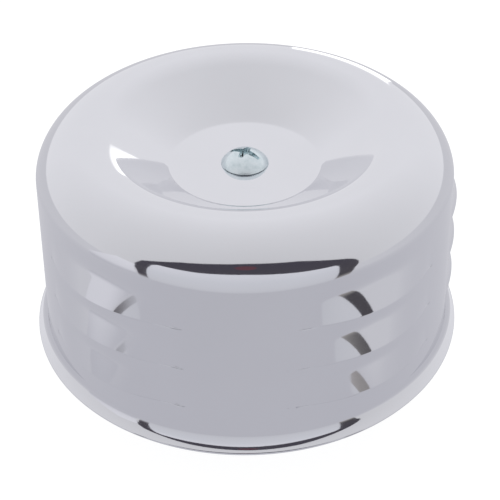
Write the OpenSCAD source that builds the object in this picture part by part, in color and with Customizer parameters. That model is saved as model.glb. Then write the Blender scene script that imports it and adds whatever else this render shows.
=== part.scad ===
// Small round air filter housing with a louvred cover.
// The origin is the centre of the neck's mouth, and +Z points up to the cover.
// Lengths are millimetres.

/* [Cover] */
// Outer radius of the cover wall at its foot
cover_r = 50.8; // [48:0.1:56]
// Height of the cover from the underside of its flange to its crown
cover_h = 54.4; // [53:0.1:62]
// How far the wall leans in from its foot to its shoulder
wall_draft = 1.6; // [1:0.1:2]
// Thickness of the cover's sheet
cover_sheet = 0.9; // [0.7:0.1:1.1]
// How far the flange stands out from the foot of the wall
flange_out = 2.8; // [2:0.1:4]
// Height of the flare above the flange
flare_h = 2.2; // [1.5:0.1:3]
// Radius of the flat disc at the centre of the dish
disc_r = 17.9; // [15:0.1:19]
// Depth of the flat disc below the crown
dish_depth = 10.7; // [9:0.1:12]

/* [Louvres] */
// Number of louvre rows
louvre_rows = 3; // [1:1:3]
// Height of the lowest lip above the underside of the flange
louvre_first = 11.3; // [9:0.1:12]
// Distance from one lip to the next
louvre_pitch = 11; // [10.8:0.1:12]
// Height of one louvre
louvre_h = 10; // [8:0.1:10.5]
// How far a lip stands out from the wall
louvre_out = 2.4; // [2:0.1:2.8]
// Angle that one louvre spans around the wall
louvre_span = 42; // [30:1:48]

/* [Neck] */
// Radius of the neck's bore, for an air horn of 66.7 mm
neck_bore_r = 33.34; // [32:0.02:33.6]
// Length of the neck below the base plate
neck_len = 14; // [13.6:0.1:18]
// Width of the slots that let the neck close
neck_slot_w = 2; // [1:0.1:3]
// Width of the clamp band
clamp_w = 9; // [8:0.1:9.5]

/* [Filter element] */
// Inner radius of the element's end seals
element_inner_r = 36.2; // [36:0.1:37]
// Outer radius of the element's end seals
element_outer_r = 45.6; // [44:0.1:45.6]
// Number of pleats in the filter paper
pleats = 60; // [30:1:72]

/* [Fasteners] */
// Radius of the cover screw's thread
screw_r = 3.17; // [3:0.01:3.2]
// Radius of the cover screw's head
head_r = 5.6; // [5:0.1:6.5]
// Radius of the clamp screw's thread
clamp_screw_r = 2.05; // [1.5:0.01:2.1]

/* [Hidden] */
$fn = 96;

// Gaps between pieces
running_gap = 0.06;
rest_gap = 0.1;
lift_gap = 0.4;

// Cover outline
shoulder_z = 44.2;
shoulder_power = 1.74;
crown_r = 37.3;
crown_round = 11;
disc_z = cover_h - dish_depth;
dish_rise = cover_h - crown_round - disc_z;
dish_angle = atan2(dish_rise, crown_r - disc_r) + asin(crown_round / norm([dish_rise, crown_r - disc_r]));
foot_z = cover_sheet + flare_h;
shoulder_r = cover_r - wall_draft;
flange_r = cover_r + flange_out;
louvre_taper = 0.69;
// Where each column of louvres is centred. The press steps them a little unevenly.
louvre_at = [-55, 8.5, 80, 152, 229];

// Base plate and neck
neck_sheet = 0.9;
neck_outer_r = neck_bore_r + neck_sheet;
neck_top = neck_len + 7.5;
collar_r = neck_bore_r - 1;
bead_out = 0.9;
bead_h = 0.8;
plate_sheet = 0.9;
plate_top = neck_len + plate_sheet;
plate_r = 49.2;
plate_rim_h = 5;
locating_r = 46.1;
locating_w = 1.5;
locating_h = 0.9;
neck_slots = 4;

// Bridge across the neck
bridge_w = 14;
bridge_sheet = 1.8;
bridge_top = neck_top + 0.8;
bridge_leg = 7.2;
bridge_reach = collar_r - 0.02;
rivet_r = 1.6;
rivet_head_r = 2.6;
rivet_head_h = 0.8;
rivet_z = neck_len + 4.4;
rivet_bulge = 0.15;
nut_flats = 11.1;
nut_h = 5.5;

// Element heights
seal_floor = plate_top + rest_gap;
bottom_seal_h = 6;
seal_chamfer = 1.8;
media_bottom = seal_floor + bottom_seal_h;
media_top = neck_len + 43;
screen_sheet = 0.4;
inner_screen_r = element_inner_r + 0.4;
outer_screen_r = element_outer_r - 1;
media_inner_r = inner_screen_r + screen_sheet + 0.3;
media_outer_r = outer_screen_r - 0.3;
paper = 0.45;
screen_windows = 16;
window_rows = 4;
window_fill = 0.72;

// Cover screw
washer_h = 0.6;
washer_r = 6;
washer_z = neck_len + disc_z - cover_sheet - rest_gap - washer_h;
head_h = 3.2;
head_dome = 3;
recess_w = 1.1;
slot_l = 8.4;
cross_l = 5.2;
recess_deep = 2;
recess_turn = -28;
clip_r = 6.5;
clip_h = 0.5;
screw_tip = neck_len;
head_z = neck_len + disc_z + rest_gap / 2;

// Clamp
band_sheet = 0.8;
band_r = neck_outer_r + running_gap;
band_z = 2;
ear_gap = 8;
ear_sheet = 1.2;
ear_out = 46.5;
ear_screw_y = 41.2;
clamp_z = band_z + clamp_w / 2;
clamp_head_r = 3.8;
clamp_head_h = 2.4;
clamp_washer_h = 0.8;
clamp_nut_w = 7.6;
clamp_nut_h = 3;
clamp_screw_len = 18;

// Radius of the wall's outer face at height z above the flange's underside
function wall_r(z) = cover_r - wall_draft * (z - foot_z) / (shoulder_z - foot_z);

function dish(n) = concat([[disc_r, disc_z]], [for (i = [0:n]) let (a = dish_angle * (1 - i / n))
    [crown_r - crown_round * sin(a), cover_h - crown_round * (1 - cos(a))]]);
function shoulder(n) = [for (i = [1:n]) let (a = 90 * i / n)
    [crown_r + (shoulder_r - crown_r) * pow(sin(a), 2 / shoulder_power),
     shoulder_z + (cover_h - shoulder_z) * pow(max(cos(a), 0), 2 / shoulder_power)]];
function flare(n) = [for (i = [0:n]) let (a = 90 * i / n)
    [flange_r - flange_out * cos(a), cover_sheet + flare_h * (1 - sin(a))]];

// Outer face of the cover, from its screw hole out to the edge of the flange
cover_face = concat([[screw_r + 0.4, disc_z]], dish(6), shoulder(10), flare(5));

// The outline p moved along its own normals by d, towards the inside of the cover
function inset(p, d) = [for (i = [0:len(p) - 1])
    let (t = p[min(i + 1, len(p) - 1)] - p[max(i - 1, 0)], n = t / norm(t)) p[i] + d * [n[1], -n[0]]];
function mirrored(p) = [for (i = [len(p) - 1:-1:0]) p[i]];

// Lid-side face of the top seal, which follows the underside of the crown
cover_lining = inset(cover_face, cover_sheet + lift_gap);
seal_face = [for (p = cover_lining) if (p[0] > element_inner_r + 0.5 && p[0] < element_outer_r - 0.2) p];

module raise(h) { translate([0, 0, h]) children(); }

module ring(r_in, r_out, z0, z1) {
    rotate_extrude() translate([r_in, z0]) square([r_out - r_in, z1 - z0]);
}

// One row of pressed hoods is a ring that swells out from the wall down to its
// lip, cut by a wedge at each louvre. thinner is 0 outside and the sheet inside.
function hood_bulge(u) = louvre_out * (1 - 1.15 * pow(u, 2.2));
module hood_ring(lip, thinner) {
    steps = 4;
    top = lip + louvre_h;
    outer = [for (i = [0:steps]) let (u = i / steps, z = lip + u * louvre_h)
             [wall_r(z) + hood_bulge(u) - thinner, z]];
    rotate_extrude() polygon(concat([[wall_r(lip) - cover_sheet / 2 - thinner, lip]], outer,
                                    [[wall_r(top) - cover_sheet / 2 - thinner, top]]));
}

// Plan of the space that one louvre may fill, with slanted ends
module hood_wedges(trim) {
    half = louvre_span / 2;
    x0 = cover_r - 10;
    x1 = cover_r + 8;
    function side_y(x) = cover_r * sin(half) - trim - louvre_taper * (x - cover_r * cos(half));
    for (a = louvre_at) rotate([0, 0, a])
        linear_extrude(shoulder_z)
            polygon([[x0, -side_y(x0)], [x1, -side_y(x1)], [x1, side_y(x1)], [x0, side_y(x0)]]);
}

module hoods(thinner) {
    for (row = [0:louvre_rows - 1]) intersection() {
        hood_ring(louvre_first + row * louvre_pitch, thinner);
        hood_wedges(thinner * 1.2);
    }
}

module cover() {
    color("silver") raise(neck_len) difference() {
        union() {
            rotate_extrude() polygon(concat(cover_face, mirrored(inset(cover_face, cover_sheet))));
            hoods(0);
        }
        hoods(cover_sheet);
    }
}

// The head is a high dome with a slot and a shorter one across it
module cover_screw() {
    dome_r = (head_r * head_r + head_dome * head_dome) / (2 * head_dome);
    color("lightsteelblue") difference() {
        union() {
            raise(screw_tip) cylinder(r = screw_r, h = head_z - screw_tip + 1);
            raise(head_z) cylinder(r = head_r, h = head_h - head_dome);
            raise(head_z + head_h - dome_r) intersection() {
                sphere(r = dome_r, $fn = 64);
                raise(dome_r - head_dome) cylinder(r = head_r, h = head_dome + 1);
            }
        }
        raise(head_z + head_h - recess_deep) rotate([0, 0, recess_turn]) {
            translate([-slot_l / 2, -recess_w / 2, 0]) cube([slot_l, recess_w, recess_deep + 1]);
            translate([-recess_w / 2, -cross_l / 2, 0]) cube([recess_w, cross_l, recess_deep + 1]);
        }
    }
}

// The washer and the clip hold the screw in the cover from below
module screw_washer() {
    color("dimgray") ring(screw_r + 0.2, washer_r, washer_z, washer_z + washer_h);
}

module screw_clip() {
    color("slategray") ring(screw_r, clip_r, washer_z - clip_h, washer_z);
}

module base_plate() {
    rim = 2.5;
    top = [[neck_outer_r, plate_top], [locating_r, plate_top], [locating_r + 0.3, plate_top + locating_h],
           [locating_r + locating_w - 0.3, plate_top + locating_h], [locating_r + locating_w, plate_top],
           [plate_r - plate_sheet, plate_top + 1], [plate_r - plate_sheet, neck_len + plate_rim_h]];
    under = [[plate_r, neck_len + plate_rim_h], [plate_r, neck_len + rim],
             [plate_r - 0.7, neck_len + 0.7], [plate_r - rim, neck_len], [neck_outer_r, neck_len]];
    color("gainsboro") rotate_extrude() polygon(concat(top, under));
}

// The neck's lower part grips the air horn, and its narrower collar stops it
module neck() {
    bead_r = neck_outer_r + bead_out;
    half = [[neck_bore_r, 0], [neck_outer_r, 0], [neck_outer_r, neck_len - bead_h], [bead_r, neck_len - bead_h],
            [bead_r, neck_len], [neck_outer_r, neck_len], [neck_outer_r, plate_top], [bead_r, plate_top],
            [bead_r, plate_top + bead_h], [collar_r + neck_sheet, plate_top + bead_h],
            [collar_r + neck_sheet, neck_top], [collar_r, neck_top], [collar_r, neck_len],
            [neck_bore_r, neck_len]];
    color("silver") difference() {
        rotate_extrude() polygon(half);
        for (i = [0:neck_slots - 1]) rotate([0, 0, 45 + i * 360 / neck_slots])
            translate([neck_bore_r - 2, -neck_slot_w / 2, -1]) cube([6, neck_slot_w, neck_len - 1.5]);
        for (s = [0, 180]) rotate([0, 0, s])
            translate([collar_r - 2, 0, rivet_z]) rotate([0, 90, 0]) cylinder(r = rivet_r, h = 5);
    }
}

module bridge_bracket() {
    color("darkgray") difference() {
        intersection() {
            raise(bridge_top - bridge_leg) cylinder(r = bridge_reach, h = bridge_leg);
            difference() {
                translate([-neck_bore_r, -bridge_w / 2, bridge_top - bridge_leg])
                    cube([2 * neck_bore_r, bridge_w, bridge_leg]);
                raise(bridge_top - bridge_leg - 1)
                    cylinder(r = bridge_reach - bridge_sheet, h = bridge_leg + 1 - bridge_sheet);
            }
        }
        raise(bridge_top - bridge_sheet - 1) cylinder(r = screw_r + 0.4, h = bridge_sheet + 2);
        translate([-neck_bore_r, 0, rivet_z]) rotate([0, 90, 0]) cylinder(r = rivet_r, h = 2 * neck_bore_r);
    }
}

// Each rivet has a flat head on the strap's leg and another on the collar
module bridge_rivets() {
    inner = bridge_reach - bridge_sheet;
    outer = collar_r + neck_sheet;
    color("lightgray") for (s = [0, 180]) rotate([0, 0, s])
        translate([inner - rivet_head_h, 0, rivet_z]) rotate([0, 90, 0]) {
            cylinder(r = rivet_r, h = outer - inner + 2 * rivet_head_h);
            cylinder(r = rivet_head_r, h = rivet_head_h - rivet_bulge);
            raise(outer - inner + rivet_head_h) cylinder(r = rivet_head_r, h = rivet_head_h);
        }
}

module bridge_nut() {
    z = bridge_top - bridge_sheet - nut_h;
    color("darkgray") raise(z) difference() {
        cylinder(r = nut_flats / 2 / cos(30), h = nut_h, $fn = 6);
        raise(-1) cylinder(r = screw_r + running_gap, h = nut_h + 2);
    }
}

// Zigzag outline of the pleated paper, made d thinner on each side
function pleat_line(d) = [for (i = [0:2 * pleats - 1])
    let (a = 180 * i / pleats, r = (i % 2 == 0) ? media_outer_r - d : media_inner_r + paper * 2 - d)
    [r * cos(a), r * sin(a)]];

module element_media() {
    color("wheat") raise(media_bottom) difference() {
        linear_extrude(media_top - media_bottom) difference() {
            polygon(pleat_line(0));
            polygon(pleat_line(paper * 2));
        }
        seam_cut(0);
    }
}

// Room for the clip that joins the two ends of the paper
module seam_cut(gap) {
    raise(-1) translate([media_inner_r - 1, -1.2 + gap, 0])
        cube([media_outer_r - media_inner_r + 2, 2.4 - 2 * gap, media_top - media_bottom + 2]);
}

module media_seam_clip() {
    color("lightgray") intersection() {
        raise(media_bottom) seam_cut(0);
        ring(media_inner_r + 0.5, media_outer_r - 0.2, media_bottom, media_top);
    }
}

module screen(r) {
    pitch = (media_top - media_bottom) / window_rows;
    window_h = pitch * window_fill;
    window_w = 2 * PI * r / screen_windows * window_fill;
    difference() {
        ring(r, r + screen_sheet, media_bottom, media_top);
        for (i = [0:screen_windows / 2 - 1], j = [0:window_rows - 1])
            rotate([0, 0, 180 / screen_windows + i * 360 / screen_windows])
                translate([-r - 2, -window_w / 2, media_bottom + (j + 0.5) * pitch - window_h / 2])
                    cube([2 * r + 4, window_w, window_h]);
    }
}

module element_outer_screen() { color("gray") screen(outer_screen_r); }

module element_inner_screen() { color("gray") screen(inner_screen_r); }

module element_bottom_seal() {
    color("darkorange") ring(element_inner_r, element_outer_r, seal_floor, media_bottom);
}

module element_top_seal() {
    z = media_top - neck_len;
    color("darkorange") raise(neck_len) rotate_extrude()
        polygon(concat([[element_outer_r, z], [element_inner_r, z],
                        [element_inner_r, seal_face[0][1] - seal_chamfer]],
                       seal_face, [[element_outer_r, seal_face[len(seal_face) - 1][1] - seal_chamfer]]));
}

module clamp_band() {
    ear_in = neck_outer_r - 0.6;
    color("silver") difference() {
        union() {
            difference() {
                ring(band_r, band_r + band_sheet, band_z, band_z + clamp_w);
                translate([-ear_gap / 2, 0, 0]) cube([ear_gap, 2 * band_r, 2 * clamp_w]);
            }
            for (s = [-1, 1]) translate([s * (ear_gap + ear_sheet) / 2, 0, 0]) difference() {
                translate([-ear_sheet / 2, ear_in, band_z]) cube([ear_sheet, ear_out - ear_in, clamp_w]);
                translate([-s * (ear_gap + ear_sheet) / 2, 0, 0]) cylinder(r = band_r, h = 3 * clamp_w);
            }
        }
        translate([-ear_gap, ear_screw_y, clamp_z]) rotate([0, 90, 0])
            cylinder(r = clamp_screw_r + 0.25, h = 2 * ear_gap);
    }
}

module clamp_washer() {
    x = -ear_gap / 2 - ear_sheet;
    color("lightgray") translate([x - clamp_washer_h, ear_screw_y, clamp_z]) rotate([0, 90, 0])
        difference() {
            cylinder(r = clamp_head_r + 0.5, h = clamp_washer_h);
            raise(-1) cylinder(r = clamp_screw_r + 0.25, h = clamp_washer_h + 2);
        }
}

module clamp_nut() {
    x = ear_gap / 2 + ear_sheet;
    color("lightgray") translate([x, ear_screw_y, clamp_z]) rotate([0, 90, 0]) difference() {
        raise(clamp_nut_h / 2) cube([clamp_nut_w, clamp_nut_w, clamp_nut_h], center = true);
        raise(-1) cylinder(r = clamp_screw_r + running_gap, h = clamp_nut_h + 2);
    }
}

module clamp_screw() {
    x = -ear_gap / 2 - ear_sheet - clamp_washer_h - rest_gap / 2;
    color("lightgray") translate([x, ear_screw_y, clamp_z]) rotate([0, 90, 0]) difference() {
        union() {
            cylinder(r = clamp_screw_r, h = clamp_screw_len);
            raise(-clamp_head_h) cylinder(r = clamp_head_r, h = clamp_head_h);
        }
        translate([-0.5, -clamp_head_r - 1, -clamp_head_h - 1]) cube([1, 2 * clamp_head_r + 2, 2.2]);
    }
}

cover();
cover_screw();
screw_washer();
screw_clip();
base_plate();
neck();
bridge_bracket();
bridge_rivets();
bridge_nut();
element_media();
media_seam_clip();
element_outer_screen();
element_inner_screen();
element_top_seal();
element_bottom_seal();
clamp_band();
clamp_washer();
clamp_nut();
clamp_screw();
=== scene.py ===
# Looks of the louvred air filter housing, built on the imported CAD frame. Lengths are metres.
import math

import bmesh
import bpy
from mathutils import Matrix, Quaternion, Vector


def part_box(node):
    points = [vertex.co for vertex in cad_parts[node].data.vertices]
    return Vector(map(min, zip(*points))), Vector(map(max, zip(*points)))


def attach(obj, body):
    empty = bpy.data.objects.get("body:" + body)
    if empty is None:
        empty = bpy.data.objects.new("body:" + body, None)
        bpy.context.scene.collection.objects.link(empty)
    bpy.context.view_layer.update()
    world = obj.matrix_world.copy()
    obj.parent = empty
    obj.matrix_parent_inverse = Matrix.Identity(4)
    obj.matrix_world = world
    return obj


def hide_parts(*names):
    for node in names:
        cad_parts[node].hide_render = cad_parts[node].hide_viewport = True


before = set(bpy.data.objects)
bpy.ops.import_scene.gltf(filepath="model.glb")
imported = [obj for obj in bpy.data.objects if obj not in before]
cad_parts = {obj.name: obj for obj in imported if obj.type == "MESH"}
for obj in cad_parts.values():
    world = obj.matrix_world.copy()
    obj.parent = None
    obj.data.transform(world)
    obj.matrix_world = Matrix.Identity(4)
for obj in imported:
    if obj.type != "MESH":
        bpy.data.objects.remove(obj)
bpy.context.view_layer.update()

MM = 0.001
TAU = 2 * math.pi
# Points of a mesh that are closer than this become one
WELD = 1e-7


# ---------------------------------------------------------------- sizes from the frame

cover_low, cover_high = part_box("cover")
FLANGE_Z = cover_low.z
CROWN_Z = cover_high.z
FLANGE_R = cover_high.x
SHEET = 0.9 * MM
# The wall's radius at its foot, and how much narrower it is at the shoulder
WALL_R = FLANGE_R - 2.8 * MM
WALL_DRAFT = 1.6 * MM
# The foot flares out to the flange: its height, and how much of a circle is stretched to fit
FLARE_H = 4 * MM
FLARE_TURN = math.radians(50)
FOOT_Z = FLANGE_Z + SHEET + FLARE_H
# The shoulder is a quarter of a superellipse, where a power of 2 would be a plain ellipse
SHOULDER_Z = CROWN_Z - 10.2 * MM
SHOULDER_POWER = 1.74
# The radius at the top of the crown, and the radius of the round inside it
CROWN_R = WALL_R - 13.5 * MM
CROWN_ROUND = 11 * MM
# The flat disc at the bottom of the dished top
DISC_R = 17.9 * MM
DISC_Z = CROWN_Z - 10.7 * MM
HOLE_R = 3.6 * MM

# Where each column of louvres is centred, in degrees. The press steps them a little unevenly.
LOUVRE_AT = [-55, 8.5, 80, 152, 229]
LOUVRE_ROWS = 3
# The lowest lip's height above the flange, and the step from one row to the next
LOUVRE_FIRST = 11.3 * MM
LOUVRE_PITCH = 11 * MM
# A louvre's height above its lip, and how far the lip stands out from the wall
LOUVRE_H = 8.8 * MM
LOUVRE_OUT = 2.4 * MM
# How much of a louvre's height is straight, before it rounds back into the wall
LOUVRE_FLAT = 0.72
# How far a louvre's sheet rises for each millimetre that it stands out
LOUVRE_ARCH = 0.4
# Half a louvre's width, how squarely it ends, and how softly its ends run into the wall
LOUVRE_HALF = math.radians(21)
LOUVRE_SQUARE = 1.7
LOUVRE_SOFT = 1.2

# The cover screw: a 1/4 inch thread with 20 turns to the inch, and a domed head on a low rim
SCREW_R = 3.17 * MM
SCREW_PITCH = 1.27 * MM
HEAD_R = 5.6 * MM
HEAD_RIM = 0.2 * MM
RECESS_DEPTH = 1.6 * MM
RECESS_TURN = math.radians(-28)
# The neck's bore, the outside of its tube, and the bore of the collar above the base plate
NECK_BORE_R = 33.34 * MM
NECK_R = NECK_BORE_R + 0.9 * MM
COLLAR_R = NECK_BORE_R - 1 * MM
BRIDGE_SHEET = 1.8 * MM
SEAL_BORE_R = 36.2 * MM
PLEATS = 60
CLAMP_SCREW_R = 2.05 * MM
CLAMP_PITCH = 0.7 * MM


# ---------------------------------------------------------------- mesh helpers

def lerp(a, b, t):
    return a + (b - a) * t


def span(node):
    """A round node's outer radius and its lowest and highest z."""
    low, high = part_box(node)
    return high.x, low.z, high.z


def mesh_from(name, verts, faces, weld=None):
    """A smooth mesh with its faces turned outwards, and close points welded if weld says how close."""
    mesh = bpy.data.meshes.new(name)
    mesh.from_pydata([tuple(v) for v in verts], [], faces)
    bm = bmesh.new()
    bm.from_mesh(mesh)
    if weld:
        bmesh.ops.remove_doubles(bm, verts=bm.verts, dist=weld)
    bmesh.ops.recalc_face_normals(bm, faces=bm.faces)
    for face in bm.faces:
        face.smooth = True
    bm.to_mesh(mesh)
    bm.free()
    return mesh


def piece(name, solids, body, node, finish, cutters=(), weld=WELD, crease=35):
    """One piece made of (vertices, faces) solids less the cutters, in place of a CAD node."""
    verts, faces = joined(solids)
    obj = bpy.data.objects.new(name, mesh_from(name, verts, faces, weld))
    bpy.context.scene.collection.objects.link(obj)
    if cutters:
        carve(obj, cutters)
    obj.data.set_sharp_from_angle(angle=math.radians(crease))
    obj.data.materials.clear()
    obj.data.materials.append(finish())
    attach(obj, body)
    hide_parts(node)
    return obj


def joined(solids):
    """Several (vertices, faces) solids as one."""
    verts, faces = [], []
    for more_verts, more_faces in solids:
        first = len(verts)
        verts += more_verts
        faces += [tuple(first + i for i in face) for face in more_faces]
    return verts, faces


def carve(obj, cutters):
    """Take the cutters, each a (vertices, faces) solid, out of an object's mesh."""
    tools = []
    for verts, faces in cutters:
        tool = bpy.data.objects.new("cutter", mesh_from("cutter", verts, faces, WELD))
        bpy.context.scene.collection.objects.link(tool)
        cut = obj.modifiers.new("cut", "BOOLEAN")
        cut.operation = "DIFFERENCE"
        cut.solver = "EXACT"
        cut.object = tool
        tools.append(tool)
    graph = bpy.context.evaluated_depsgraph_get()
    mesh = bpy.data.meshes.new_from_object(obj.evaluated_get(graph))
    obj.modifiers.clear()
    obj.data = mesh
    for tool in tools:
        bpy.data.objects.remove(tool)


def rounded(outline, radius, steps=4):
    """A closed outline of (r, z) with its corners rounded, by less where the sides are short.
    A corner on the axis, or one that is nearly straight, stays as it is."""
    nearly_straight = 1.5
    points = []
    for i, corner in enumerate(outline):
        here = Vector(corner)
        back = Vector(outline[i - 1]) - here
        ahead = Vector(outline[(i + 1) % len(outline)]) - here
        half = back.angle(ahead) / 2
        if here.x < 1e-6 or half > nearly_straight:
            points.append(tuple(here))
            continue
        cut = min(radius / math.tan(half), 0.45 * back.length, 0.45 * ahead.length)
        start, end = here + cut * back.normalized(), here + cut * ahead.normalized()
        for k in range(steps + 1):
            t = k / steps
            points.append(tuple((1 - t) ** 2 * start + 2 * t * (1 - t) * here + t * t * end))
    return points


def lathe(outline, columns, reshape=None):
    """A closed outline of (r, z) turned round Z. reshape(r, z, angle) may change each radius."""
    verts = []
    for i in range(columns):
        a = TAU * i / columns
        for r, z in outline:
            if reshape:
                r = reshape(r, z, a)
            verts.append((r * math.cos(a), r * math.sin(a), z))
    count = len(outline)
    faces = []
    for i in range(columns):
        k = (i + 1) % columns
        for j in range(count):
            n = (j + 1) % count
            if outline[j][0] or outline[n][0]:
                faces.append((i * count + j, k * count + j, k * count + n, i * count + n))
    return verts, faces


def ring(r_in, r_out, z0, z1, radius, columns=128):
    """A flat ring with its edges rounded to a radius."""
    return lathe(rounded([(r_in, z0), (r_out, z0), (r_out, z1), (r_in, z1)], radius), columns)


def rod(radius, z0, z1, columns=48):
    """A plain round rod."""
    return lathe([(0, z0), (radius, z0), (radius, z1), (0, z1)], columns)


def block(low, high, turn=0.0):
    """A box, turned about Z."""
    spin = Quaternion((0, 0, 1), turn)
    verts = [tuple(spin @ Vector((x, y, z))) for x in (low[0], high[0]) for y in (low[1], high[1])
             for z in (low[2], high[2])]
    return verts, [(0, 1, 3, 2), (4, 6, 7, 5), (0, 4, 5, 1), (2, 3, 7, 6), (0, 2, 6, 4), (1, 5, 7, 3)]


def threaded(radius, pitch, z0, z1, columns=48, plain=0.0):
    """A threaded rod with a chamfered lower end. Its last stretch, plain long, has no thread."""
    depth, flat, rows_a_turn = 0.54 * pitch, 0.15, 8
    chamfer = depth * 1.4
    rows = round((z1 - z0) / pitch * rows_a_turn)
    verts = []
    for j in range(rows + 1):
        z = lerp(z0, z1, j / rows)
        for i in range(columns):
            ridge = abs(2 * ((z / pitch - i / columns) % 1) - 1)
            groove = depth * min(max((ridge - flat) / (1 - 2 * flat), 0), 1)
            if z > z1 - plain:
                groove = 0
            r = min(radius - groove, radius - chamfer + (z - z0))
            a = TAU * i / columns
            verts.append((r * math.cos(a), r * math.sin(a), z))
    faces = [tuple(range(columns)), tuple(rows * columns + i for i in range(columns))]
    for j in range(rows):
        for i in range(columns):
            k = (i + 1) % columns
            faces.append((j * columns + i, j * columns + k,
                          (j + 1) * columns + k, (j + 1) * columns + i))
    return verts, faces


def along_x(solid, x, y, z):
    """A solid made round Z, laid along X from the point (x, y, z)."""
    verts, faces = solid
    return [(x + v[2], y + v[0], z + v[1]) for v in verts], faces


def plate(outline, z0, z1):
    """A flat plan outline of (x, y), extruded in Z."""
    count = len(outline)
    verts = [(x, y, z0) for x, y in outline] + [(x, y, z1) for x, y in outline]
    faces = [tuple(range(count)), tuple(range(count, 2 * count))]
    faces += [(i, (i + 1) % count, count + (i + 1) % count, count + i) for i in range(count)]
    return verts, faces


def thicken(line, thickness):
    """The outline of a strip that runs along an open plan line."""
    left, right = [], []
    for i, p in enumerate(line):
        ahead = Vector(line[min(i + 1, len(line) - 1)]) - Vector(line[max(i - 1, 0)])
        side = Vector((-ahead.y, ahead.x)).normalized() * thickness / 2
        left.append((p[0] + side.x, p[1] + side.y))
        right.append((p[0] - side.x, p[1] - side.y))
    return left + right[::-1]


def bevel(obj, width, degrees=40):
    """Round the edges that turn by more than some degrees."""
    edge = obj.modifiers.new("edge", "BEVEL")
    edge.width = width
    edge.segments = 2
    edge.limit_method = "ANGLE"
    edge.angle_limit = math.radians(degrees)


# ---------------------------------------------------------------- cover

def wall_r(z):
    """The wall's outer radius at a height, between the louvres."""
    return WALL_R - WALL_DRAFT * (z - FOOT_Z) / (SHOULDER_Z - FOOT_Z)


def dish_outline():
    """(r, z) of the dished top: the flat disc, a straight cone and the round of the crown."""
    across, up = CROWN_R - DISC_R, CROWN_Z - CROWN_ROUND - DISC_Z
    reach = math.hypot(across, up)
    cone = math.atan2(up, across) + math.asin(CROWN_ROUND / reach)
    length = math.sqrt(reach * reach - CROWN_ROUND * CROWN_ROUND)
    cone_steps, round_steps = 14, 24
    points = [(HOLE_R, DISC_Z), (0.5 * DISC_R, DISC_Z), (DISC_R - 0.5 * MM, DISC_Z),
              (DISC_R, DISC_Z + 0.04 * MM)]
    for i in range(cone_steps + 1):
        along = lerp(0.4 * MM, length, i / cone_steps)
        points.append((DISC_R + along * math.cos(cone), DISC_Z + along * math.sin(cone)))
    for i in range(1, round_steps + 1):
        a = cone * (1 - i / round_steps)
        points.append((CROWN_R - CROWN_ROUND * math.sin(a), CROWN_Z - CROWN_ROUND * (1 - math.cos(a))))
    return points


def shoulder_outline():
    """(r, z) of the rounded shoulder, from the crown down to the top of the wall."""
    steps = 32
    points = []
    for i in range(1, steps + 1):
        a = 0.5 * math.pi * i / steps
        across, up = math.sin(a) ** (2 / SHOULDER_POWER), max(math.cos(a), 0) ** (2 / SHOULDER_POWER)
        points.append((CROWN_R + (wall_r(SHOULDER_Z) - CROWN_R) * across,
                       SHOULDER_Z + (CROWN_Z - SHOULDER_Z) * up))
    return points


def flare_outline():
    """(r, z) of the flared foot, from the wall out to the edge of the flange."""
    steps = 14
    points = []
    for i in range(steps + 1):
        a = FLARE_TURN * i / steps
        points.append((WALL_R + (FLANGE_R - WALL_R) * (1 - math.cos(a)) / (1 - math.cos(FLARE_TURN)),
                       FOOT_Z - FLARE_H * math.sin(a) / math.sin(FLARE_TURN)))
    return points


def louvre_bulge(angle, height):
    """How far the wall is pressed out at an angle round it and a height above a row's lip."""
    away = min(abs((angle - math.radians(c) + math.pi) % TAU - math.pi) for c in LOUVRE_AT)
    across, up = away / LOUVRE_HALF, max(height, 0) / LOUVRE_H
    if across >= 1 or up >= 1:
        return 0.0
    slope = 2 / (1 + LOUVRE_FLAT)
    if up < LOUVRE_FLAT:
        awning = 1 - slope * up
    else:
        awning = (1 - slope * LOUVRE_FLAT) * ((1 - up) / (1 - LOUVRE_FLAT)) ** 2
    return LOUVRE_OUT * (1 - across ** LOUVRE_SQUARE) ** LOUVRE_SOFT * awning


def wall_rows():
    """The wall's rows of points from the shoulder down. Each is (z, lip, starts a gap), where
    lip is the height of the louvre lip that the row belongs to, or None below them all."""
    lips = [FLANGE_Z + LOUVRE_FIRST + i * LOUVRE_PITCH for i in range(LOUVRE_ROWS)]
    steps, foot_steps = 26, 10
    rows = []
    top = SHOULDER_Z
    for lip in reversed(lips):
        for i in range(steps + 1):
            rows.append((lerp(top, lip, i / steps), lip, i == 0 and bool(rows)))
        top = lip
    for i in range(foot_steps + 1):
        rows.append((lerp(top, FOOT_Z, i / foot_steps), None, i == 0))
    return rows


def make_cover():
    """One pressed sheet. The rows either side of a lip weld together where no louvre stands out."""
    columns = 480
    angles = [TAU * i / columns for i in range(columns)]
    rings = [[(r, z)] * columns for r, z in dish_outline() + shoulder_outline()[:-1]]
    gaps = []
    for z, lip, starts_gap in wall_rows():
        if starts_gap:
            gaps.append(len(rings))
        bulges = [louvre_bulge(a, z - lip) if lip else 0.0 for a in angles]
        rings.append([(wall_r(z) + out, z + LOUVRE_ARCH * out) for out in bulges])
    rings += [[(r, z)] * columns for r, z in flare_outline()[1:]]
    verts = [(r * math.cos(a), r * math.sin(a), z)
             for ring in rings for a, (r, z) in zip(angles, ring)]
    faces = []
    for j in range(len(rings) - 1):
        if j + 1 in gaps:
            continue
        for i in range(columns):
            k = (i + 1) % columns
            faces.append((j * columns + i, (j + 1) * columns + i,
                          (j + 1) * columns + k, j * columns + k))
    obj = piece("cover_shell", [(verts, faces)], "cover", "cover", chrome,
                weld=1e-6, crease=180)
    thick = obj.modifiers.new("sheet", "SOLIDIFY")
    thick.thickness = SHEET
    thick.offset = -1
    thick.use_even_offset = True
    bevel(obj, 0.18 * MM, 50)


# ---------------------------------------------------------------- screw, washer and clip

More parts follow.
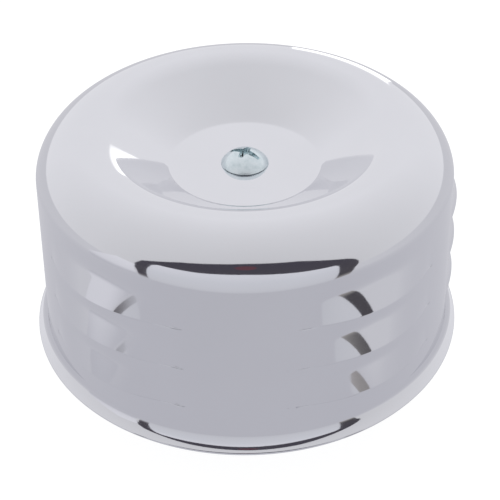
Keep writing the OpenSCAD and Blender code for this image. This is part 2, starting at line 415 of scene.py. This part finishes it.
def make_cover_screw():
    """A domed head with a cross recess, one arm of it a long screwdriver slot, on a threaded shank."""
    _, tip, top = span("cover_screw")
    rim = DISC_Z + 0.05 * MM
    dome = top - rim - HEAD_RIM
    dome_r = (HEAD_R ** 2 + dome ** 2) / (2 * dome)
    edge = math.asin(HEAD_R / dome_r)
    outline = [(0, rim), (HEAD_R - 0.1 * MM, rim), (HEAD_R, rim + 0.08 * MM)]
    outline += [(dome_r * math.sin(a), top - dome_r * (1 - math.cos(a)))
                for a in (edge * (1 - i / 24) for i in range(25))]
    # Each arm's length, and its width in the middle and at its ends
    long_arm, short_arm = (8.6 * MM, 2 * MM, 1 * MM), (5.4 * MM, 2.2 * MM, 1.1 * MM)
    floor = top - RECESS_DEPTH
    recess = [slot_cutter(*long_arm, floor, top, RECESS_TURN),
              slot_cutter(*short_arm, floor, top, RECESS_TURN + math.pi / 2)]
    head = piece("screw_head", [lathe(outline, 128)], "cover_screw", "cover_screw", zinc,
                 recess)
    bevel(head, 0.1 * MM, 30)
    shank = threaded(SCREW_R, SCREW_PITCH, tip, rim + 0.5 * MM, plain=3 * MM)
    piece("screw_shank", [shank], "cover_screw", "cover_screw", zinc)


def slot_cutter(length, middle, end, floor, top, turn):
    """A slot that is wider in the middle than at its ends, and widens a little upwards."""
    spin = Quaternion((0, 0, 1), turn)
    verts = []
    for z, trim in ((floor, 1.0), (top + 0.5 * MM, 0.0)):
        x = length / 2 - 0.7 * MM * trim
        y = middle / 2 - 0.2 * MM * trim
        end_y = end / 2 - 0.1 * MM * trim
        plan = [(-x, -end_y), (0, -y), (x, -end_y), (x, end_y), (0, y), (-x, end_y)]
        verts += [tuple(spin @ Vector((px, py, z))) for px, py in plan]
    sides = [(i, (i + 1) % 6, 6 + (i + 1) % 6, 6 + i) for i in range(6)]
    return verts, sides + [tuple(range(6)), tuple(range(6, 12))]


def make_screw_washer():
    """A thin rubber ring under the cover, round its screw."""
    r_out, z0, z1 = span("screw_washer")
    solid = ring(SCREW_R + 0.15 * MM, r_out, z0, z1, 0.2 * MM)
    piece("screw_washer_rubber", [solid], "cover_screw", "screw_washer", rubber)


def make_screw_clip():
    """A push-on clip: a ring with eight teeth that bite the thread."""
    r_out, z0, z1 = span("screw_clip")
    teeth, steps = 8, 12
    tooth_r, notch_r = 3.15 * MM, 4.9 * MM
    edge = 0.1 * MM
    columns = teeth * steps
    verts = []
    for i in range(columns):
        a = TAU * i / columns
        r = notch_r if i % steps in (0, 1) else tooth_r
        for radius, z in ((r, z0), (r_out, z0), (r_out, z1 - edge), (r_out - edge, z1), (r, z1)):
            verts.append((radius * math.cos(a), radius * math.sin(a), z))
    faces = []
    for i in range(columns):
        k = (i + 1) % columns
        faces += [(5 * i + j, 5 * k + j, 5 * k + (j + 1) % 5, 5 * i + (j + 1) % 5)
                  for j in range(5)]
    piece("screw_push_clip", [(verts, faces)], "cover_screw", "screw_clip", steel)


# ---------------------------------------------------------------- base plate, neck and bridge

def make_base_plate():
    """A shallow pan with a raised bead for the seal and an upright rim."""
    r_out, z0, z1 = span("base_plate")
    sheet = 0.9 * MM
    top = z0 + sheet
    bead = 46.1 * MM
    outline = [(NECK_R, top), (bead, top), (bead + 0.3 * MM, top + sheet),
               (bead + 1.2 * MM, top + sheet), (bead + 1.5 * MM, top), (r_out - sheet, top + 1 * MM),
               (r_out - sheet, z1), (r_out, z1), (r_out, z0 + 2.5 * MM),
               (r_out - 0.7 * MM, z0 + 0.7 * MM), (r_out - 2.5 * MM, z0), (NECK_R, z0)]
    solid = lathe(rounded(outline, 0.4 * MM), 256)
    piece("base_pan", [solid], "base", "base_plate", chrome)


def make_neck():
    """The tube that clamps on the carburettor, slotted to close up, and the collar above the plate."""
    r_out, z0, z1 = span("neck")
    plate_z = FLANGE_Z
    sheet, bead = 0.9 * MM, 0.8 * MM
    collar_out = COLLAR_R + sheet
    outline = [(NECK_BORE_R, z0), (NECK_R, z0), (NECK_R, plate_z - bead), (r_out, plate_z - bead),
               (r_out, plate_z), (NECK_R, plate_z), (NECK_R, plate_z + sheet), (r_out, plate_z + sheet),
               (r_out, plate_z + sheet + bead), (collar_out, plate_z + sheet + bead), (collar_out, z1),
               (COLLAR_R, z1), (COLLAR_R, plate_z), (NECK_BORE_R, plate_z)]
    slot_half, slot_top = 1 * MM, plate_z - 2.5 * MM
    slots = [block((NECK_BORE_R - 2 * MM, -slot_half, z0 - 1 * MM),
                   (NECK_R + 3 * MM, slot_half, slot_top),
                   math.radians(45 + 90 * i)) for i in range(4)]
    neck = piece("neck_tube", [lathe(rounded(outline, 0.3 * MM), 256)], "base", "neck",
                 chrome, slots)
    bevel(neck, 0.12 * MM)


def make_bridge():
    """A strap bent down at both ends, where its legs follow the round of the collar."""
    low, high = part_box("bridge_bracket")
    reach = COLLAR_R - 0.05 * MM
    bend = 2.6 * MM
    path = [(0, low.z), (0, high.z - bend)]
    path += [(bend * (1 - math.cos(a)), high.z - bend * (1 - math.sin(a)))
             for a in (0.5 * math.pi * i / 8 for i in range(1, 9))]
    path += [(bend + (reach - bend) * i / 12, high.z) for i in range(1, 13)]
    rows = 16
    verts, faces = [], []
    count = 2 * len(path) - 1
    for j in range(rows + 1):
        y = lerp(low.y, high.y, j / rows)
        edge = math.sqrt(reach ** 2 - y ** 2)
        run = [(-edge + edge * u / reach if u > bend else -edge + u, z) for u, z in path]
        run += [(-x, z) for x, z in run[-2::-1]]
        verts += [(x, y, z) for x, z in run]
    for j in range(rows):
        faces += [(j * count + i, j * count + i + 1, (j + 1) * count + i + 1, (j + 1) * count + i)
                  for i in range(count - 1)]
    strap = bpy.data.objects.new("strap", mesh_from("strap", verts, faces))
    bpy.context.scene.collection.objects.link(strap)
    thick = strap.modifiers.new("sheet", "SOLIDIFY")
    thick.thickness = BRIDGE_SHEET
    thick.offset = -1
    carve(strap, [rod(SCREW_R + 0.4 * MM, high.z - 5 * MM, high.z + 5 * MM, 64)])
    mesh = strap.data
    solid = ([tuple(v.co) for v in mesh.vertices], [tuple(p.vertices) for p in mesh.polygons])
    bpy.data.objects.remove(strap)
    bevel(piece("bridge_strap", [solid], "base", "bridge_bracket", steel), 0.25 * MM)


def make_rivets():
    """A rivet through each leg of the bridge, with a domed head at both ends."""
    low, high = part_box("bridge_rivets")
    z = (low.z + high.z) / 2
    r_head, r_shank, head = 2.6 * MM, 1.6 * MM, 0.8 * MM
    x_in = COLLAR_R - BRIDGE_SHEET - 0.02 * MM
    x_out = high.x - head
    dome = [(r_head * math.cos(a), head * math.sin(a))
            for a in (0.5 * math.pi * i / 8 for i in range(9))]
    length = x_out - x_in
    outline = [(r, -h) for r, h in dome[::-1]] + [(r_shank, 0), (r_shank, length)]
    outline += [(r, length + h) for r, h in dome]
    outline[0] = (0, -head)
    outline[-1] = (0, length + head)
    right = along_x(lathe(outline, 48), x_in, 0, z)
    left = ([(-v[0], v[1], v[2]) for v in right[0]], right[1])
    piece("bridge_rivet_pair", [right, left], "base", "bridge_rivets", steel)


def nut_shape(flats, sides, z0, z1):
    """A radius for each angle and height of a nut: flat sides with their corners turned to a cone.
    The points of its bore, well inside the flats, stay round."""
    turn = math.pi / sides
    corner_r, slope = 0.53 * flats, 1.7

    def reshape(r, z, a):
        if r < 0.35 * flats:
            return r
        side = flats / 2 / math.cos((a + turn) % (2 * turn) - turn)
        return min(side, corner_r + slope * min(z - z0, z1 - z))
    return reshape


def nut(flats, sides, bore, z0, z1):
    """A nut with a chamfered bore. flats is its width across the flats, and bore is a radius."""
    chamfer, steps = 0.3 * MM, 24
    outer = [lerp(z0, z1, i / steps) for i in range(steps + 1)]
    outline = [(bore, z0 + chamfer), (bore + chamfer, z0)] + [(flats / 2, z) for z in outer]
    outline += [(bore + chamfer, z1), (bore, z1 - chamfer)]
    return lathe(outline, 144, nut_shape(flats, sides, z0, z1))


def make_bridge_nut():
    """The nut under the bridge that the cover screw turns into."""
    low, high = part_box("bridge_nut")
    solid = nut(high.y - low.y, 6, SCREW_R + 0.06 * MM, low.z, high.z)
    piece("bridge_hex_nut", [solid], "base", "bridge_nut", steel, crease=25)


# ---------------------------------------------------------------- filter element

def make_media():
    """Paper folded in pleats, with a round fold at each tip."""
    low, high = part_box("element_media")
    r_out = high.y
    pleat_depth = 6.6 * MM
    r_in = r_out - pleat_depth
    steps, rows = 10, 6
    columns = PLEATS * steps
    sheet, roundness = 0.42 * MM, 0.55
    profile = []
    for i in range(columns):
        t = (i / steps) % 1
        wave = abs(2 * t - 1)
        soft = lerp(wave, 0.5 - 0.5 * math.cos(math.pi * wave), roundness)
        profile.append((lerp(r_in, r_out - sheet, soft), TAU * i / columns))
    verts, faces = [], []
    for j in range(rows + 1):
        z = lerp(low.z, high.z, j / rows)
        for r, a in profile:
            verts.append((r * math.cos(a), r * math.sin(a), z))
    for j in range(rows):
        for i in range(columns):
            k = (i + 1) % columns
            faces.append((j * columns + i, j * columns + k,
                          (j + 1) * columns + k, (j + 1) * columns + i))
    obj = piece("pleated_paper", [(verts, faces)], "element", "element_media", paper,
                crease=70)
    thick = obj.modifiers.new("sheet", "SOLIDIFY")
    thick.thickness = sheet
    thick.offset = 0


def make_seam_clip():
    """A folded metal channel that grips the two ends of the paper."""
    low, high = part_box("media_seam_clip")
    half = 0.35 * (high.y - low.y)
    heel = high.x - 0.8 * MM
    line = [(low.x, -half), (heel, -half)]
    line += [(heel + half * math.sin(a), -half * math.cos(a))
             for a in (math.pi * i / 8 for i in range(1, 8))]
    line += [(heel, half), (low.x, half)]
    solid = plate(thicken(line, 0.4 * MM), low.z, high.z)
    piece("paper_seam_clip", [solid], "element", "media_seam_clip", steel)


def make_screen(name, node, columns, rows):
    """Expanded metal: diamonds cut and stretched in one sheet."""
    r_out, z0, z1 = span(node)
    strand = 0.34 * MM
    r = r_out - strand / 2
    verts, faces = [], []
    for j in range(2 * rows + 1):
        z = lerp(z0 + strand / 2, z1 - strand / 2, j / (2 * rows))
        for i in range(columns):
            a = TAU * (i + 0.5 * (j % 2)) / columns
            verts.append((r * math.cos(a), r * math.sin(a), z))
    for j in range(2 * rows - 1):
        for i in range(columns):
            left = (i - 1 + j % 2) % columns
            right = (left + 1) % columns
            faces.append((j * columns + i, (j + 1) * columns + right, (j + 2) * columns + i,
                          (j + 1) * columns + left))
    obj = piece(name, [(verts, faces)], "element", node, steel, crease=180)
    strands = obj.modifiers.new("strands", "WIREFRAME")
    strands.thickness = strand
    strands.use_even_offset = False


def make_top_seal():
    """The seal's lid side follows the underside of the crown, with shallow ribs pressed in it."""
    r_out, z0, _ = span("element_top_seal")
    r_in, edge, side_drop = SEAL_BORE_R, 0.9 * MM, 1.6 * MM
    rib_depth, rib_pitch = 0.12 * MM, 1.6 * MM
    under = SHEET + 0.65 * MM
    crown = dish_outline() + shoulder_outline()
    face = []
    for i in range(1, len(crown) - 1):
        along = Vector(crown[i + 1]) - Vector(crown[i - 1])
        inward = Vector((along.y, -along.x)).normalized() * under
        r, z = crown[i][0] + inward.x, crown[i][1] + inward.y
        if r_in + edge < r < r_out - edge:
            face.append((r, z - rib_depth * (1 - math.cos(TAU * (r - r_in) / rib_pitch))))
    outline = [(r_out, z0), (r_out, face[-1][1] - side_drop)] + face[::-1]
    outline += [(r_in, face[0][1] - side_drop), (r_in, z0)]
    solid = lathe(rounded(outline, 0.5 * MM), 256)
    piece("top_seal_moulding", [solid], "element", "element_top_seal", orange_rubber)


def make_bottom_seal():
    """A flat ring with moulded ribs under it."""
    r_out, z0, z1 = span("element_bottom_seal")
    r_in, edge = SEAL_BORE_R, 0.8 * MM
    ribs, steps, rib_depth = 5, 8, 0.25 * MM
    under = []
    for i in range(ribs * steps + 1):
        u = i / (ribs * steps)
        rib = rib_depth * (1 - math.cos(TAU * ribs * u)) / 2
        under.append((lerp(r_in + edge, r_out - edge, u), z0 + rib))
    outline = [(r_in, z1), (r_in, z0 + edge)] + under + [(r_out, z0 + edge), (r_out, z1)]
    solid = lathe(rounded(outline, 0.5 * MM), 256)
    piece("bottom_seal_moulding", [solid], "element", "element_bottom_seal",
          orange_rubber)


# ---------------------------------------------------------------- clamp

def clamp_axis():
    """The y and z of the clamp screw's axis."""
    low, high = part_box("clamp_screw")
    return (low.y + high.y) / 2, (low.z + high.z) / 2


def make_clamp_band():
    """A strap round the neck, whose two ends turn out as ears for the screw."""
    low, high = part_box("clamp_band")
    sheet = 0.8 * MM
    r = -low.y - sheet / 2
    # Each ear stands this far from the middle, and this is the radius of its bend into the strap
    ear_x = 4.6 * MM
    bend = 1.6 * MM
    bend_steps, half_steps = 6, 60
    start = math.atan2(math.sqrt((r + bend) ** 2 - (ear_x + bend) ** 2), ear_x + bend)
    heel = (ear_x + bend, (r + bend) * math.sin(start))
    line = [(ear_x, high.y), (ear_x, lerp(high.y, heel[1], 0.5)), (ear_x, heel[1])]
    line += [(heel[0] - bend * math.cos(a), heel[1] - bend * math.sin(a))
             for a in (start * i / bend_steps for i in range(1, bend_steps))]
    line += [(r * math.cos(a), r * math.sin(a))
             for a in (lerp(start, -math.pi / 2, i / half_steps) for i in range(half_steps + 1))]
    line += [(-x, y) for x, y in line[-2::-1]]
    solid = plate(thicken(line, sheet), low.z, high.z)
    z = (low.z + high.z) / 2
    hole = along_x(rod(CLAMP_SCREW_R + 0.25 * MM, -8 * MM, 8 * MM), 0, clamp_axis()[0], z)
    bevel(piece("clamp_strap", [solid], "clamp", "clamp_band", zinc, [hole]), 0.15 * MM)


def make_clamp_washer():
    """The flat washer under the clamp screw's head."""
    low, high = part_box("clamp_washer")
    solid = ring(CLAMP_SCREW_R + 0.25 * MM, (high.z - low.z) / 2, 0, high.x - low.x, 0.15 * MM, 72)
    piece("clamp_flat_washer", [along_x(solid, low.x, *clamp_axis())], "clamp", "clamp_washer",
          zinc)


def make_clamp_nut():
    """The square nut on the far ear."""
    low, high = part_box("clamp_nut")
    solid = nut(high.z - low.z, 4, CLAMP_SCREW_R + 0.06 * MM, 0, high.x - low.x)
    piece("clamp_square_nut", [along_x(solid, low.x, *clamp_axis())], "clamp", "clamp_nut",
          zinc, crease=25)


def make_clamp_screw():
    """A slotted head, and a threaded shank turned round so that its chamfered tip points along X."""
    low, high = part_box("clamp_screw")
    r_head = (high.z - low.z) / 2
    head_h, slot_half, slot_depth = 2.4 * MM, 0.6 * MM, 1.2 * MM
    outline = rounded([(0, 0), (r_head, 0), (r_head, head_h), (0, head_h)], 0.4 * MM)
    slot = block((-slot_half, -r_head - 1 * MM, -1 * MM), (slot_half, r_head + 1 * MM, slot_depth))
    head = piece("clamp_screw_head", [along_x(lathe(outline, 96), low.x, *clamp_axis())],
                 "clamp_screw", "clamp_screw", zinc, [along_x(slot, low.x, *clamp_axis())])
    bevel(head, 0.1 * MM, 50)
    length = high.x - low.x - head_h
    verts, faces = threaded(CLAMP_SCREW_R, CLAMP_PITCH, 0, length + 0.3 * MM, 32, 0.8 * MM)
    flipped = ([(x, -y, length - z) for x, y, z in verts], faces)
    piece("clamp_screw_shank", [along_x(flipped, low.x + head_h, *clamp_axis())],
          "clamp_screw", "clamp_screw", zinc)


# ---------------------------------------------------------------- materials

def material(name, build, **values):
    """A Principled material. values set its own sockets, and build wires the rest."""
    mat = bpy.data.materials.get(name)
    if mat:
        return mat
    mat = bpy.data.materials.new(name)
    mat.use_nodes = True
    nodes, links = mat.node_tree.nodes, mat.node_tree.links
    shader = nodes["Principled BSDF"]
    for key, value in values.items():
        shader.inputs[key.replace("_", " ")].default_value = value
    build(nodes, links, shader)
    return mat


def noise(nodes, links, scale, detail=4.0, stretch=(1, 1, 1)):
    """A noise value in object space, scale per metre."""
    place = nodes.new("ShaderNodeTexCoord")
    mapping = nodes.new("ShaderNodeMapping")
    mapping.inputs["Scale"].default_value = stretch
    texture = nodes.new("ShaderNodeTexNoise")
    texture.inputs["Scale"].default_value = scale
    texture.inputs["Detail"].default_value = detail
    links.new(place.outputs["Object"], mapping.inputs["Vector"])
    links.new(mapping.outputs["Vector"], texture.inputs["Vector"])
    return texture.outputs["Fac"]


def ramp(nodes, links, value, stops):
    """Colours along a value. stops are (place, colour)."""
    node = nodes.new("ShaderNodeValToRGB")
    elements = node.color_ramp.elements
    while len(elements) < len(stops):
        elements.new(0.5)
    for element, (place, colour) in zip(elements, stops):
        element.position = place
        element.color = (*colour, 1)
    links.new(value, node.inputs["Fac"])
    return node.outputs["Color"]


def spread(nodes, links, value, low, high):
    """A value from 0 to 1, spread from low to high."""
    node = nodes.new("ShaderNodeMapRange")
    node.inputs["To Min"].default_value = low
    node.inputs["To Max"].default_value = high
    links.new(value, node.inputs["Value"])
    return node.outputs["Result"]


def bump(nodes, links, shader, height, strength, distance):
    """Bump from a height value, up to a distance in metres."""
    node = nodes.new("ShaderNodeBump")
    node.inputs["Strength"].default_value = strength
    node.inputs["Distance"].default_value = distance
    links.new(height, node.inputs["Height"])
    links.new(node.outputs["Normal"], shader.inputs["Normal"])


def chrome():
    """Polished chrome plate, with faint clouds in its colour and the ripple of pressed sheet."""
    def build(nodes, links, shader):
        links.new(ramp(nodes, links, noise(nodes, links, 60, 3),
                       [(0.3, (0.785, 0.787, 0.81)), (0.7, (0.80, 0.802, 0.825))]),
                  shader.inputs["Base Color"])
        links.new(spread(nodes, links, noise(nodes, links, 900, 6), 0.03, 0.09),
                  shader.inputs["Roughness"])
        bump(nodes, links, shader, noise(nodes, links, 260, 2), 0.02, 0.0002)
    return material("chrome_plate", build, Metallic=1.0)


def zinc():
    """Bright zinc with a blue-green passivated tint, mottled and finely grained."""
    def build(nodes, links, shader):
        links.new(ramp(nodes, links, noise(nodes, links, 700, 5),
                       [(0.3, (0.66, 0.75, 0.77)), (0.5, (0.76, 0.84, 0.86)), (0.72, (0.82, 0.88, 0.9))]),
                  shader.inputs["Base Color"])
        links.new(spread(nodes, links, noise(nodes, links, 1500, 6), 0.16, 0.3),
                  shader.inputs["Roughness"])
        bump(nodes, links, shader, noise(nodes, links, 2200, 4), 0.05, 0.0001)
    return material("zinc_plate", build, Metallic=1.0)


def steel():
    """Dull plated steel, darker in places, with the drag marks of the press."""
    def build(nodes, links, shader):
        links.new(ramp(nodes, links, noise(nodes, links, 180, 6),
                       [(0.3, (0.36, 0.37, 0.38)), (0.6, (0.50, 0.51, 0.52)), (0.8, (0.56, 0.56, 0.57))]),
                  shader.inputs["Base Color"])
        links.new(spread(nodes, links, noise(nodes, links, 800, 5, (1, 1, 0.1)), 0.26, 0.5),
                  shader.inputs["Roughness"])
        bump(nodes, links, shader, noise(nodes, links, 1200, 4, (1, 1, 0.15)), 0.18, 0.0002)
    return material("plated_steel", build, Metallic=1.0)


def rubber():
    """Black rubber with a dry, grainy skin."""
    def build(nodes, links, shader):
        links.new(ramp(nodes, links, noise(nodes, links, 500, 5),
                       [(0.35, (0.012, 0.012, 0.013)), (0.7, (0.03, 0.03, 0.031))]),
                  shader.inputs["Base Color"])
        links.new(spread(nodes, links, noise(nodes, links, 900, 4), 0.55, 0.8),
                  shader.inputs["Roughness"])
        bump(nodes, links, shader, noise(nodes, links, 3000, 5), 0.3, 0.0001)
    return material("black_rubber", build)


def paper():
    """Resin-treated filter paper: fibres, dimples and slightly browner patches."""
    def build(nodes, links, shader):
        fibres = noise(nodes, links, 1400, 8, (1, 1, 0.25))
        links.new(ramp(nodes, links, fibres,
                       [(0.3, (0.62, 0.50, 0.30)), (0.55, (0.78, 0.67, 0.45)), (0.8, (0.84, 0.76, 0.56))]),
                  shader.inputs["Base Color"])
        links.new(spread(nodes, links, fibres, 0.75, 0.95), shader.inputs["Roughness"])
        bump(nodes, links, shader, noise(nodes, links, 1900, 6, (1, 1, 0.5)), 0.5, 0.0003)
    return material("filter_paper", build, Specular_IOR_Level=0.25)


def orange_rubber():
    """Soft moulded plastisol with a fine skin and a slight sheen."""
    def build(nodes, links, shader):
        links.new(ramp(nodes, links, noise(nodes, links, 240, 5),
                       [(0.3, (0.50, 0.115, 0.02)), (0.7, (0.62, 0.16, 0.03))]),
                  shader.inputs["Base Color"])
        links.new(spread(nodes, links, noise(nodes, links, 700, 4), 0.42, 0.6),
                  shader.inputs["Roughness"])
        bump(nodes, links, shader, noise(nodes, links, 2200, 5), 0.2, 0.0002)
    return material("orange_plastisol", build)


# ---------------------------------------------------------------- studio

def glow(name, value, stops):
    """A material that only glows, coloured by a value through a ramp. It can be brighter than white."""
    mat = bpy.data.materials.new(name)
    mat.use_nodes = True
    nodes, links = mat.node_tree.nodes, mat.node_tree.links
    nodes.clear()
    emission = nodes.new("ShaderNodeEmission")
    links.new(ramp(nodes, links, value(nodes, links), stops), emission.inputs["Color"])
    surface = nodes.new("ShaderNodeOutputMaterial")
    links.new(emission.outputs["Emission"], surface.inputs["Surface"])
    return mat


def height_in(top):
    """A value that goes from 0 at the floor to 1 at a height."""
    def value(nodes, links):
        place = nodes.new("ShaderNodeTexCoord")
        split = nodes.new("ShaderNodeSeparateXYZ")
        links.new(place.outputs["Object"], split.inputs["Vector"])
        scale = nodes.new("ShaderNodeMapRange")
        scale.inputs["From Max"].default_value = top
        links.new(split.outputs["Z"], scale.inputs["Value"])
        return scale.outputs["Result"]
    return value


def card(name, outline, azimuth, distance, stops):
    """A flat card that shows only in reflections. outline is (across, height) in millimetres,
    stops are (height from 0 to 1, colour), and azimuth turns the card round the object from the
    front, in degrees."""
    a = math.radians(azimuth)
    out, side = Vector((math.sin(a), -math.cos(a), 0)), Vector((math.cos(a), math.sin(a), 0))
    verts = [(distance * out + across * side) * MM + Vector((0, 0, height * MM))
             for across, height in outline]
    obj = bpy.data.objects.new(name, mesh_from(name, verts, [tuple(range(len(verts)))]))
    bpy.context.scene.collection.objects.link(obj)
    top = max(height for _, height in outline) * MM
    obj.data.materials.append(glow(name, height_in(top), stops))
    obj.visible_camera = False
    obj.visible_diffuse = False
    obj.visible_shadow = False


def make_cards():
    """What the chrome mirrors: in front, a dark opening with a white sheet, a grey post and a small
    oval in it, and a pale panel at the left and behind."""
    shade = (1.0, (0.065, 0.06, 0.08))
    arch = [(-148, 0), (-156, 50), (-165, 70), (-166, 90), (-155, 120), (-84, 150), (0, 162),
            (67, 158), (150, 118), (168, 98), (172, 80), (168, 62), (156, 45), (146, 0)]
    card("opening", arch, 0, 140, [
        (0.0, (0.4, 0.38, 0.38)), (0.07, (0.25, 0.24, 0.24)), (0.16, (0.08, 0.075, 0.085)), shade])
    sheet = [(-126, 0), (-128, 80), (-123, 105), (-112, 112), (-52, 103), (0, 104), (59, 97),
             (112, 94), (117, 86), (110, 0)]
    card("front_sheet", sheet, 0, 138, [
        (0.0, (0.6, 0.605, 0.65)), (0.2, (0.64, 0.645, 0.69)), (0.6, (0.67, 0.68, 0.73)),
        (1.0, (0.76, 0.76, 0.82))])
    oval = [(12 * math.cos(TAU * i / 24), 134 + 10 * math.sin(TAU * i / 24)) for i in range(24)]
    card("lens_front", oval, 0, 137, [(0.0, (0.18, 0.07, 0.08)), (1.0, (0.12, 0.055, 0.07))])
    card("left_panel", [(20, 0), (105, 0), (105, 80), (70, 80), (20, 25)], -80, 175, [
        (0.0, (0.55, 0.55, 0.6)), (0.15, (0.58, 0.58, 0.63)), (0.4, (0.74, 0.74, 0.79)),
        (1.0, (0.8, 0.8, 0.85))])
    card("back_panel", [(-60, 0), (110, 0), (110, 215), (-60, 215)], 166, 700, [
        (0.0, (1.8, 1.8, 1.8)), (0.6, (1.7, 1.7, 1.7)), (1.0, (0.88, 0.88, 0.91))])
    left_post = [(-151, 0), (-153, 40), (-126, 40), (-126, 0)]
    card("opening_left", left_post, 0, 139, [
        (0.0, (0.5, 0.5, 0.54)), (0.2, (0.42, 0.42, 0.45)), (0.6, (0.12, 0.11, 0.12)), shade])


def make_floor():
    """A white floor for the camera, and a greyer one to be mirrored, with painted shade that makes it
    dimmer in front of the object.
    """
    size = 4.0
    # The middle of the painted shade on the mirrored floor, in front of the object
    painted_shade_centre = (0, -0.15, 0)
    corners = [(-size, -size), (size, -size), (size, size), (-size, size)]

    def floor(name, depth, mat):
        mesh = mesh_from(name, [(x, y, -depth) for x, y in corners], [(0, 1, 2, 3)])
        obj = bpy.data.objects.new(name, mesh)
        bpy.context.scene.collection.objects.link(obj)
        obj.data.materials.append(mat)
        return obj

    def clouds(nodes, links, shader):
        links.new(ramp(nodes, links, noise(nodes, links, 3),
                       [(0.3, (0.14, 0.14, 0.14)), (0.7, (0.15, 0.15, 0.15))]),
                  shader.inputs["Base Color"])

    # Distance from the middle of the painted shade, which darkens the mirrored floor's glow near it
    def distance_from_painted_shade(nodes, links):
        place = nodes.new("ShaderNodeTexCoord")
        away = nodes.new("ShaderNodeVectorMath")
        away.operation = "DISTANCE"
        away.inputs[1].default_value = painted_shade_centre
        links.new(place.outputs["Object"], away.inputs[0])
        return away.outputs["Value"]

    pale = material("pale_floor", clouds, Roughness=0.9, Emission_Strength=0.93,
                    Emission_Color=(1, 1, 1, 1))
    white = floor("pale_floor", 0.1 * MM, pale)
    white.visible_glossy = False
    white.visible_diffuse = False
    # The mirrored floor glows darkest near the object's front: painted shade standing in for the shadow
    # that falls there
    mirrored = glow("mirrored_floor", distance_from_painted_shade, [
        (0.0, (0.545, 0.545, 0.59)), (0.1, (0.55, 0.55, 0.60)), (0.3, (0.66, 0.66, 0.70))])
    grey = floor("mirrored_floor", 0.2 * MM, mirrored)
    grey.visible_camera = False


def make_world():
    """Soft white all round, brighter towards the back."""
    world = bpy.data.worlds.new("soft_white")
    bpy.context.scene.world = world
    world.use_nodes = True
    nodes, links = world.node_tree.nodes, world.node_tree.links
    place = nodes.new("ShaderNodeTexCoord")
    split = nodes.new("ShaderNodeSeparateXYZ")
    links.new(place.outputs["Generated"], split.inputs["Vector"])
    fade = nodes.new("ShaderNodeMapRange")
    fade.inputs["From Min"].default_value = -1
    fade.inputs["From Max"].default_value = 1
    links.new(split.outputs["Y"], fade.inputs["Value"])
    stops = [(0.0, 0.62), (0.33, 0.71), (0.53, 0.76), (0.74, 0.83), (0.86, 0.87), (1.0, 0.86)]
    sky = ramp(nodes, links, fade.outputs["Result"], [(at, (v, v, 1.04 * v)) for at, v in stops])
    links.new(sky, nodes["Background"].inputs["Color"])


def make_lights():
    """One large soft disc above the object, kept out of the reflections."""
    data = bpy.data.lights.new("soft_top", "AREA")
    data.shape = "DISK"
    data.size = 0.9
    data.energy = 4
    light = bpy.data.objects.new("soft_top", data)
    light.location = (0.25, 0.2, 1.0)
    light.rotation_euler = (-light.location).to_track_quat("-Z", "Y").to_euler()
    light.visible_glossy = False
    bpy.context.scene.collection.objects.link(light)


def make_camera():
    """A close view from 38 degrees above the horizon, with a slight roll."""
    data = bpy.data.cameras.new("camera")
    data.sensor_width = 36
    data.lens = 83.3
    data.clip_start = 0.01
    camera = bpy.data.objects.new("camera", data)
    bpy.context.scene.collection.objects.link(camera)
    elevation = 0.6609
    distance = 0.2914
    roll = -0.0105
    target = Vector((1.0 * MM, 0, FLANGE_Z + 17.26 * MM))
    back = Vector((0, -math.cos(elevation), math.sin(elevation)))
    camera.location = target + back * distance
    camera.rotation_mode = "QUATERNION"
    look = (-back).to_track_quat("-Z", "Y")
    camera.rotation_quaternion = look @ Quaternion((0, 0, 1), roll)
    bpy.context.scene.camera = camera


make_camera()
make_world()
make_lights()
make_floor()
make_cards()
make_cover()
make_cover_screw()
make_screw_washer()
make_screw_clip()
make_base_plate()
make_neck()
make_bridge()
make_rivets()
make_bridge_nut()
make_media()
make_seam_clip()
make_screen("outer_screen_mesh", "element_outer_screen", 72, 9)
make_screen("inner_screen_mesh", "element_inner_screen", 60, 9)
make_top_seal()
make_bottom_seal()
make_clamp_band()
make_clamp_washer()
make_clamp_nut()
make_clamp_screw()

view = bpy.context.scene.view_settings
view.view_transform = "Standard"
view.look = "None"
